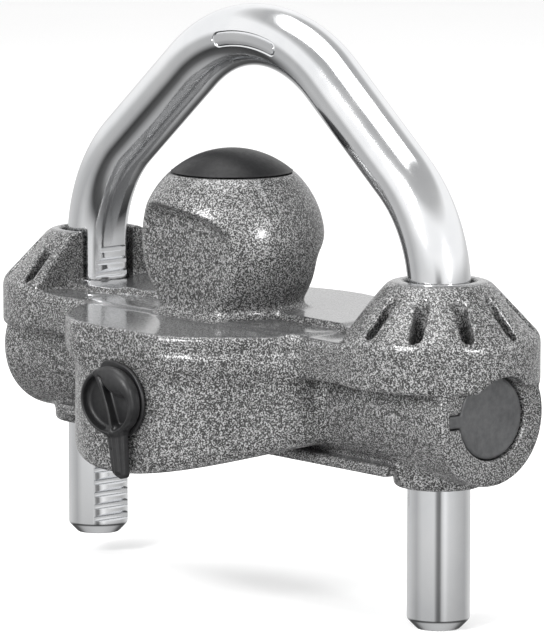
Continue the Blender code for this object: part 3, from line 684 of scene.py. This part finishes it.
def oval_cutter(apex_z):
    """A ring for the shallow oval groove on the front of the bow, at its top."""
    straight = OVAL_HALF_LENGTH - OVAL_HALF_HEIGHT
    half = [(straight - straight * 2 * i / 25, OVAL_HALF_HEIGHT) for i in range(26)]
    for i in range(1, 12):
        t = math.pi / 2 + math.pi * i / 12
        half.append((-straight + OVAL_HALF_HEIGHT * math.cos(t), OVAL_HALF_HEIGHT * math.sin(t)))
    # bent along the bow's arc, on the bar's front
    oval = []
    for u, v in half + [(-u, -v) for u, v in half]:
        v += OVAL_LIFT
        a, r = OVAL_ANGLE - u / APEX_RADIUS, APEX_RADIUS + v
        oval.append(Vector((r * math.cos(a), -math.sqrt(BAR_RADIUS ** 2 - v ** 2) - GROOVE_SINK,
                            apex_z - APEX_RADIUS + r * math.sin(a))))
    verts = []
    for i, point in enumerate(oval):
        tangent = (oval[(i + 1) % len(oval)] - oval[i - 1]).normalized()
        side = tangent.cross(Vector((0, 1, 0))).normalized()
        verts += circle(point, side, tangent.cross(side), GROOVE_WIRE, 8)
    obj = mesh_object("oval_groove", verts, tube_faces(len(oval), 8, looped=True))
    face_outwards(obj.data)
    return obj


def shackle():
    line = centre_line()
    stations = [(LEG_X, RIGHT_END_Z + h, BAR_RADIUS + change) for h, change in LEG_END]
    stations += [(x, z, BAR_RADIUS) for x, z in line]
    stations += [(-LEG_X, LEFT_END_Z + h, BAR_RADIUS + change) for h, change in reversed(LEG_END)]
    bow = sweep("shackle_bow", [(x, 0.0, z) for x, z, _ in stations], [r for _, _, r in stations], 72)
    subtract(bow, tooth_cutter(), bend_cutter())
    subtract(bow, oval_cutter(max(z for _, z in line)))
    smooth(bow, 28.0)
    return bow


dress(shackle(), "shackle_chrome", "shackle_body", "shackle")


# ---------------------------------------------------------------- end plug and rubber cover
def plug_shape(x, y, z):
    """A disc in the tube's +x end, with a key at its front."""
    disc = meet(meet(np.hypot(y, z - TUBE_Z) - 10.5, x - 86.4, 0.9), 77.6 - x, 0.6)
    key = box(x, y, z, (82.3, -13.9, TUBE_Z - 1.6), (86.35, -7.0, TUBE_Z + 1.6), 0.35)
    return join(disc, key, 0.3)


def cover_dish(y, u, w):
    """An oval lid with a raised rim, a curved rib across its hollow and a nub."""
    dish = meet(meet(oval_wall(u, w, 10.3, 8.45), -55.0 - y, 1.2), y + 51.65, 0.7)
    floor = y + 52.7 - 0.018 * w ** 2
    dish = carve(dish, meet(oval_wall(u + 0.1, w + 0.2, 9.0, 7.3), floor, 1.3), 0.5)
    rib_u = 0.1 - 0.44 * w - 0.022 * w ** 2
    lean = np.hypot(1.0, 0.44 + 0.044 * w)
    rib = meet(np.abs(u - rib_u) / lean - 0.42, -55.05 - y, 0.35)
    rib = np.maximum(rib, np.maximum(y + 52.0, oval_wall(u, w, 9.6, 7.9)))
    dish = join(dish, rib, 0.7)
    nub_w = w - 5.4 + 0.22 * (u - 3.6)
    nub = np.sqrt(((u - 3.6) / 5.2) ** 2 + (nub_w / 3.2) ** 2 + ((y + 54.3) / 1.9) ** 2)
    return join(dish, (nub - 1.0) * 1.9, 1.6)


def cover_tab(y, u, w):
    """A pull tab below the lid that narrows downwards, with a raised bar and a slit beside it."""
    t = (-w - 8.6) / 10.4
    middle, half_width = 2.4 + 1.4 * t, 3.2 - 0.8 * t
    tab = meet(np.abs(u - middle) - half_width, -19.3 - w + 0.30 * np.abs(u - middle - 0.6), 0.9)
    tab = meet(tab, w + 6.0, 0.8)
    tab = meet(meet(tab, -53.95 - y, 0.7), y + 51.75, 0.5)
    bar = meet(np.abs(u - middle - 0.2) - 1.05, -54.5 - y, 0.5)
    bar = meet(bar, np.maximum(np.abs(w + 13.0) - 4.9, y + 53.0), 0.6)
    slit = np.maximum(np.hypot(u - middle + 1.75, y + 54.1) - 0.5, np.abs(w + 15.2) - 3.2)
    return carve(join(tab, bar, 0.5), slit, 0.3)


def cover_shape(x, y, z):
    u, w = x - LOCK_X, z - LOCK_Z
    return join(cover_dish(y, u, w), cover_tab(y, u, w), 1.0)


def ring_shape(x, y, z):
    """A thin oval ring behind the lid, with a rounded lug at its upper -x side."""
    u, w = x - LOCK_X, z - LOCK_Z
    lug = rounded([np.abs(u + 2.8) - 1.2, np.abs(w - 6.3) - 1.2], 2.2)
    outline = join(oval_wall(u, w, 10.5, 9.5), lug, 1.5)
    return meet(meet(outline, np.abs(y + 50.8) - 0.5, 0.4), 6.9 - np.hypot(u, w), 0.3)


plug = surface("bore_plug", plug_shape, (76.9, -14.6, -30.3), (87.1, 11.2, -7.9),
               cell=0.28)
dress(plug, "plug", "body", "end_plug")
cover = surface("rubber_cover", cover_shape, (-8.1, -57.6, -40.6), (14.1, -51.0, -10.3),
                cell=0.2)
dress(cover, "rubber", "cover_body", "dust_cover")
ring = surface("cover_ring", ring_shape, (-8.2, -51.9, -29.7), (14.2, -49.7, -8.9),
               cell=0.22)
dress(ring, "rubber", "body", "dust_cover_ring")

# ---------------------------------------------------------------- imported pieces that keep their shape
PACKED = [("ratchet_bolt", "steel"), ("spring_seat", "steel"), ("seat_snap_ring", "spring"),
          ("lock_housing", "brass"), ("lock_plug", "brass"), ("plug_clip", "spring"),
          ("lock_cam", "zinc"), ("housing_pin", "spring")]
for i in range(1, 6):
    PACKED += [(f"lock_wafer_{i}", "brass"), (f"wafer_spring_{i}", "spring")]
for name, slot in PACKED:
    set_material(NODES[name], slot)

# ---------------------------------------------------------------- bolt spring
COIL_TURNS, STEPS_PER_TURN = 8.0, 48
COIL_RADIUS, COIL_WIRE, COIL_LENGTH, COIL_X = 7.7, 0.9, 27.3, 18.35
CLOSED_PITCH = 2.05  # rise of the first and last turn, in wire radii


def bolt_coil():
    """A coil along the tube with closed ends."""
    points = []
    closed = 1.0 + CLOSED_PITCH
    count = int(COIL_TURNS * STEPS_PER_TURN)
    for i in range(count + 1):
        turn = i / count * COIL_TURNS
        if turn < 1.0:
            h = COIL_WIRE + turn * COIL_WIRE * CLOSED_PITCH
        elif turn > COIL_TURNS - 1.0:
            h = COIL_LENGTH - COIL_WIRE - (COIL_TURNS - turn) * COIL_WIRE * CLOSED_PITCH
        else:
            open_length = COIL_LENGTH - COIL_WIRE * 2 * closed
            h = COIL_WIRE * closed + (turn - 1.0) / (COIL_TURNS - 2.0) * open_length
        t = 2 * math.pi * turn
        points.append((COIL_X + h, -COIL_RADIUS * math.sin(t), TUBE_Z + COIL_RADIUS * math.cos(t)))
    coil = sweep("bolt_coil", points, [COIL_WIRE] * len(points), 14)
    smooth(coil, 50.0)
    return coil


coil = bolt_coil()
set_material(coil, "spring")
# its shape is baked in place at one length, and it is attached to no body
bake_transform(coil)
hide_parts("bolt_spring")

# ---------------------------------------------------------------- stage, light and camera
VIEW = Vector((0.7477, -0.6480, 0.1453)).normalized()  # from the target to the camera
TARGET = (Vector((1.65, 1.90, -3.49)) + Vector(OFFSET)) * MM
UP = Vector((0, 0, 1))
RIGHT = UP.cross(VIEW).normalized()
AHEAD = Vector((VIEW.x, VIEW.y, 0)).normalized()
FLOOR_HALF, FLOOR_Z = 6.0, -0.0747
CAMERA_DISTANCE = 1.4

# (turn, brightness): 0.5 is towards the camera, 0.75 to its right
WALLS = [(0.0, 0.80), (0.15, 0.75), (0.25, 0.58), (0.32, 0.85), (0.45, 0.95), (0.478, 0.30),
         (0.508, 0.20), (0.53, 0.90), (0.56, 1.20), (0.60, 0.90), (0.70, 0.70), (0.80, 0.55),
         (0.90, 0.80), (1.0, 0.80)]
# (height, brightness) and (height, how far the walls fade to white): 0 is straight down, 1 straight up
LEVELS = [(0.0, 0.60), (0.08, 0.45), (0.16, 0.12), (0.26, 0.07), (0.33, 0.60), (0.38, 0.88),
          (0.50, 0.90), (0.60, 1.10), (0.78, 1.10), (0.86, 0.55), (1.0, 0.42)]
WALL_FADE = [(0.0, 1.0), (0.15, 1.0), (0.28, 0.0), (0.50, 0.0), (0.58, 1.0)]


def mirrored_room(shader, direction):
    """What polished metal sees in a direction: walls with darker gaps, times a level for the height."""
    def along(axis):
        n = shader.node("ShaderNodeVectorMath", operation="DOT_PRODUCT")
        shader.feed(n.inputs[0], direction)
        n.inputs[1].default_value = tuple(axis)
        return n.outputs["Value"]

    turn = shader.maths("ARCTAN2", along(RIGHT), along(AHEAD))
    turn = shader.maths("ADD", shader.maths("DIVIDE", turn, 2 * math.pi), 0.5)
    walls = shader.ramp(turn, WALLS)
    height = shader.maths("ADD", shader.maths("MULTIPLY", along(UP), 0.5), 0.5)
    level = shader.ramp(height, LEVELS)
    room = shader.node("ShaderNodeMix", data_type="RGBA", blend_type="MULTIPLY", Factor=1.0, B=level)
    fade = shader.ramp(height, WALL_FADE)
    shader.feed(room.inputs["A"], shader.mix(fade, walls, (1.0, 1.0, 1.0)))
    return room.outputs["Result"]


def pale_floor():
    """Near white, but reflections see the mirrored room in its place."""
    mat, shader = new_material("pale_floor")
    tone = shader.noise(scale=3.0, roughness=0.55)
    shader.principled({
        "Base Color": shader.ramp(tone, [(0.3, 0.93), (0.7, 0.95)]),
        "Roughness": 0.85,
        "Emission Color": (1.0, 1.0, 1.0),
        "Emission Strength": 0.20})
    incoming = shader.node("ShaderNodeNewGeometry").outputs["Incoming"]
    away = shader.node("ShaderNodeVectorMath", operation="SCALE", Vector=incoming, Scale=-1.0)
    glow = shader.node("ShaderNodeEmission", Color=mirrored_room(shader, away.outputs["Vector"]))
    glossy = shader.node("ShaderNodeLightPath").outputs["Is Glossy Ray"]
    choose = shader.node("ShaderNodeMixShader", Fac=glossy)
    nodes = mat.node_tree.nodes
    shader.feed(choose.inputs[1], nodes["Principled BSDF"].outputs["BSDF"])
    shader.feed(choose.inputs[2], glow.outputs["Emission"])
    shader.feed(nodes["Material Output"].inputs["Surface"], choose.outputs["Shader"])
    return mat


def studio_floor():
    mat = pale_floor()
    mesh = bpy.data.meshes.new("studio_floor")
    corners = [(-1, -1), (1, -1), (1, 1), (-1, 1)]
    mesh.from_pydata([(x * FLOOR_HALF, y * FLOOR_HALF, FLOOR_Z) for x, y in corners], [], [(0, 1, 2, 3)])
    mesh.materials.append(mat)
    add_object("studio_floor", mesh)


def studio_world():
    """Even grey light, with the mirrored room for reflections."""
    world = bpy.data.worlds.new("studio")
    bpy.context.scene.world = world
    world.use_nodes = True
    shader = Shader(world.node_tree)
    background = world.node_tree.nodes["Background"]
    background.inputs["Strength"].default_value = 1.0
    glossy = shader.node("ShaderNodeLightPath").outputs["Is Glossy Ray"]
    room = mirrored_room(shader, shader.coords["Generated"])
    shader.feed(background.inputs["Color"], shader.mix(glossy, (0.70, 0.70, 0.70), room))


def lamp(name, across, up, towards, size, power):
    """A square area light aimed at the target, placed to the camera's right, up and towards it."""
    data = bpy.data.lights.new(name, "AREA")
    data.shape = "RECTANGLE"
    data.size = size
    data.size_y = size
    data.energy = power
    obj = add_object(name, data)
    obj.location = TARGET + RIGHT * across + UP * up + VIEW * towards
    obj.rotation_euler = (obj.location - TARGET).to_track_quat("Z", "Y").to_euler()


def add_camera():
    data = bpy.data.cameras.new("camera")
    data.sensor_fit = "HORIZONTAL"
    data.sensor_width = 36.0
    data.lens = 358.742647
    data.clip_end = 20.0
    camera = add_object("camera", data)
    camera.location = TARGET + VIEW * CAMERA_DISTANCE
    camera.rotation_euler = VIEW.to_track_quat("Z", "Y").to_euler()
    bpy.context.scene.camera = camera


studio_floor()
studio_world()
lamp("key", across=-0.60, up=0.40, towards=0.70, size=0.40, power=9.0)
lamp("right", across=0.62, up=0.14, towards=0.80, size=0.16, power=4.0)
lamp("top", across=-0.1, up=1.1, towards=-0.1, size=0.9, power=8.5)
bpy.context.scene.view_settings.view_transform = "Standard"
add_camera()
